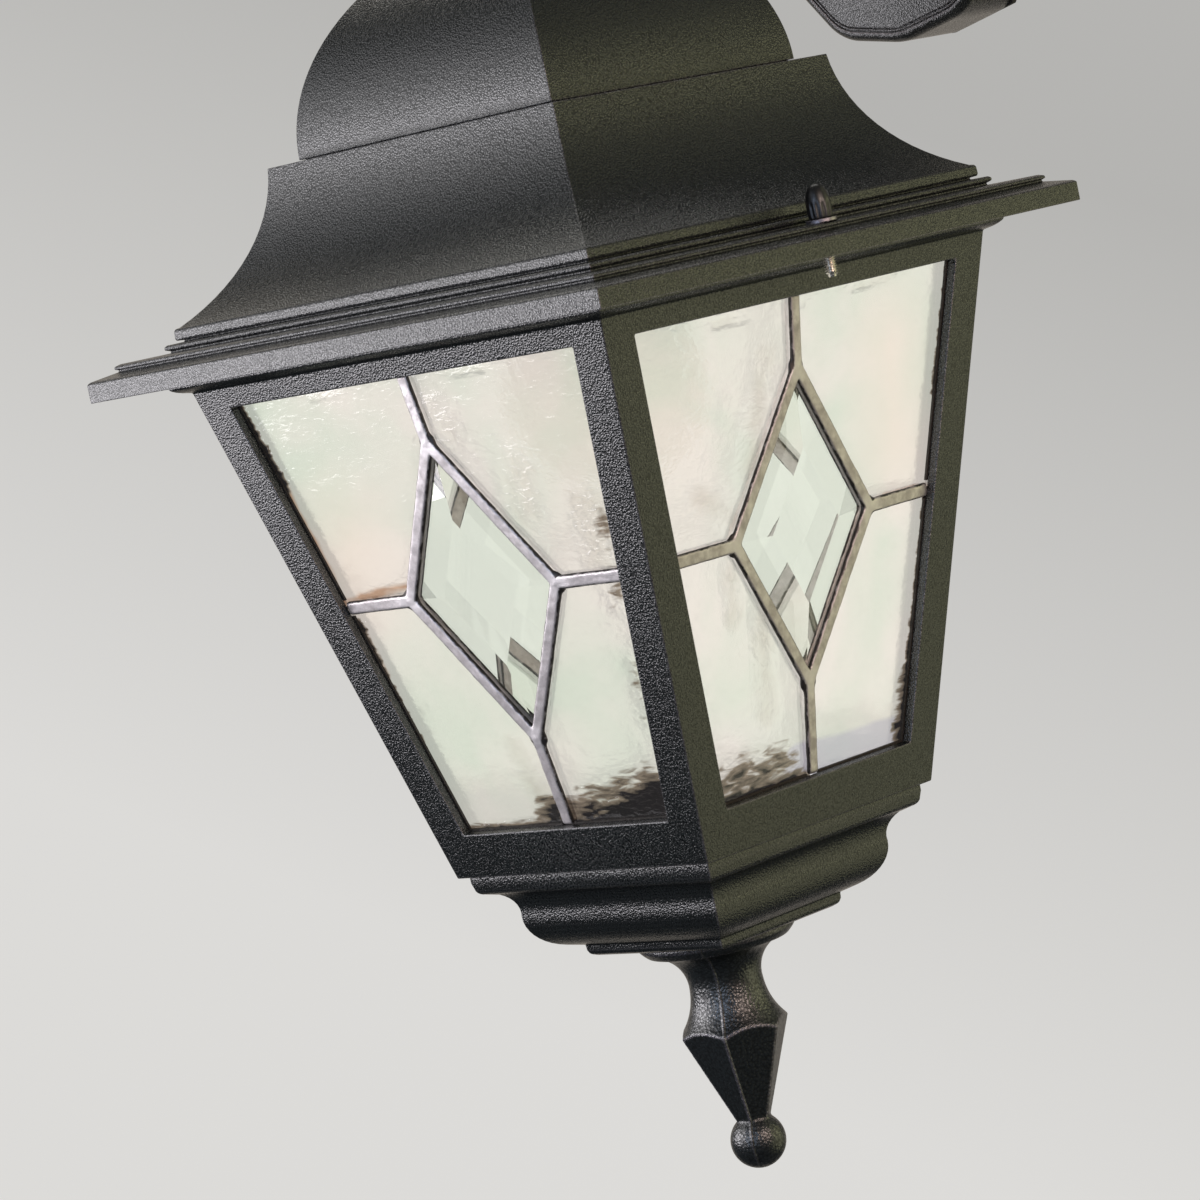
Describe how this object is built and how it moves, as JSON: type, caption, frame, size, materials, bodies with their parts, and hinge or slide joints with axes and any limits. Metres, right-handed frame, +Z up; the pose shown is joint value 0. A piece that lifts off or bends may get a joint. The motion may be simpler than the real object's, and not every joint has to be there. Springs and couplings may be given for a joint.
{
  "type": "outdoor wall light",
  "caption": "Square leaded-glass wall lantern under a concave roof, hung from a swan-neck arm on a pointed wall plate, with thumb-screwed cage, lamp and pendant finial.",
  "frame": {"origin": "centre of the wall face, between the mounting strap's two slots", "axes": "+Z up, +Y into the wall, so the lantern stands out towards -Y; +X to the right of someone facing the wall"},
  "size_m": [0.22, 0.315, 0.5131],
  "materials": {
    "black_coat": "satin",
    "black_satin": "satin",
    "black_knob": "satin",
    "zinc_steel": "satin",
    "dark_washer": "satin",
    "brass": "satin",
    "lamp_cap_metal": "satin",
    "came_lead": "satin",
    "water_glass": "gloss",
    "clear_glass": "gloss",
    "black_rubber": "matte",
    "putty": "matte",
    "holder_plastic": "matte",
    "white_plastic": "matte",
    "opal_globe": "satin",
    "lead_sheath": "matte",
    "core_brown": "gloss",
    "core_blue": "gloss",
    "core_green": "gloss"
  },
  "bodies": {
    "fixture": {"arm": "black_coat", "arm_screws": "zinc_steel", "cable_grommet": "black_rubber", "cap_nut_washers": "black_rubber", "cap_nuts": "black_knob", "core_earth": "core_green", "core_live": "core_brown", "core_neutral": "core_blue", "earth_screw": "brass", "holder_contact": "brass", "holder_shell": "brass", "lampholder_body": "holder_plastic", "lampholder_cap": "holder_plastic", "lampholder_ring": "holder_plastic", "mounting_strap": "zinc_steel", "roof_collar": "black_coat", "roof_dome": "black_coat", "roof_screws": "zinc_steel", "roof_skirt": "black_coat", "strap_studs": "zinc_steel", "supply_lead": "lead_sheath", "terminal_block": "white_plastic", "terminal_screws": "zinc_steel", "threaded_tube": "zinc_steel", "thumb_washers": "dark_washer", "tube_locknut": "zinc_steel", "tube_washer": "zinc_steel", "wall_gasket": "black_rubber", "wall_plate": "black_coat"},
    "cage": {"cage_frame": "black_coat", "cage_seal": "black_rubber", "putty_beads": "putty", "base_pan": "black_coat", "finial": "black_satin", "finial_stud": "zinc_steel", "finial_washer": "zinc_steel", "finial_nut": "zinc_steel", "glass_front": "water_glass", "diamond_front": "clear_glass", "lead_front": "came_lead", "glass_right": "water_glass", "diamond_right": "clear_glass", "lead_right": "came_lead", "glass_back": "water_glass", "diamond_back": "clear_glass", "lead_back": "came_lead", "glass_left": "water_glass", "diamond_left": "clear_glass", "lead_left": "came_lead"},
    "thumb_right": {"thumb_head_right": "black_knob", "thumb_thread_right": "zinc_steel"},
    "thumb_left": {"thumb_head_left": "black_knob", "thumb_thread_left": "zinc_steel"},
    "lamp": {"lamp_cap": "lamp_cap_metal", "lamp_base": "white_plastic", "lamp_globe": "opal_globe", "lamp_board": "lamp_cap_metal"}
  },
  "joints": [
    {"name": "cage_drop", "type": "slide", "parent": "fixture", "child": "cage", "axis": [0, 0, -1], "range_m": [0, 0.25]},
    {"name": "thumb_right_unscrew", "type": "slide", "parent": "fixture", "child": "thumb_right", "axis": [0, 0, 1], "range_m": [0, 0.012]},
    {"name": "thumb_left_unscrew", "type": "slide", "parent": "fixture", "child": "thumb_left", "axis": [0, 0, 1], "range_m": [0, 0.012]},
    {"name": "lamp_unscrew", "type": "slide", "parent": "fixture", "child": "lamp", "axis": [0, 0, -1], "range_m": [0, 0.028]}
  ]
}
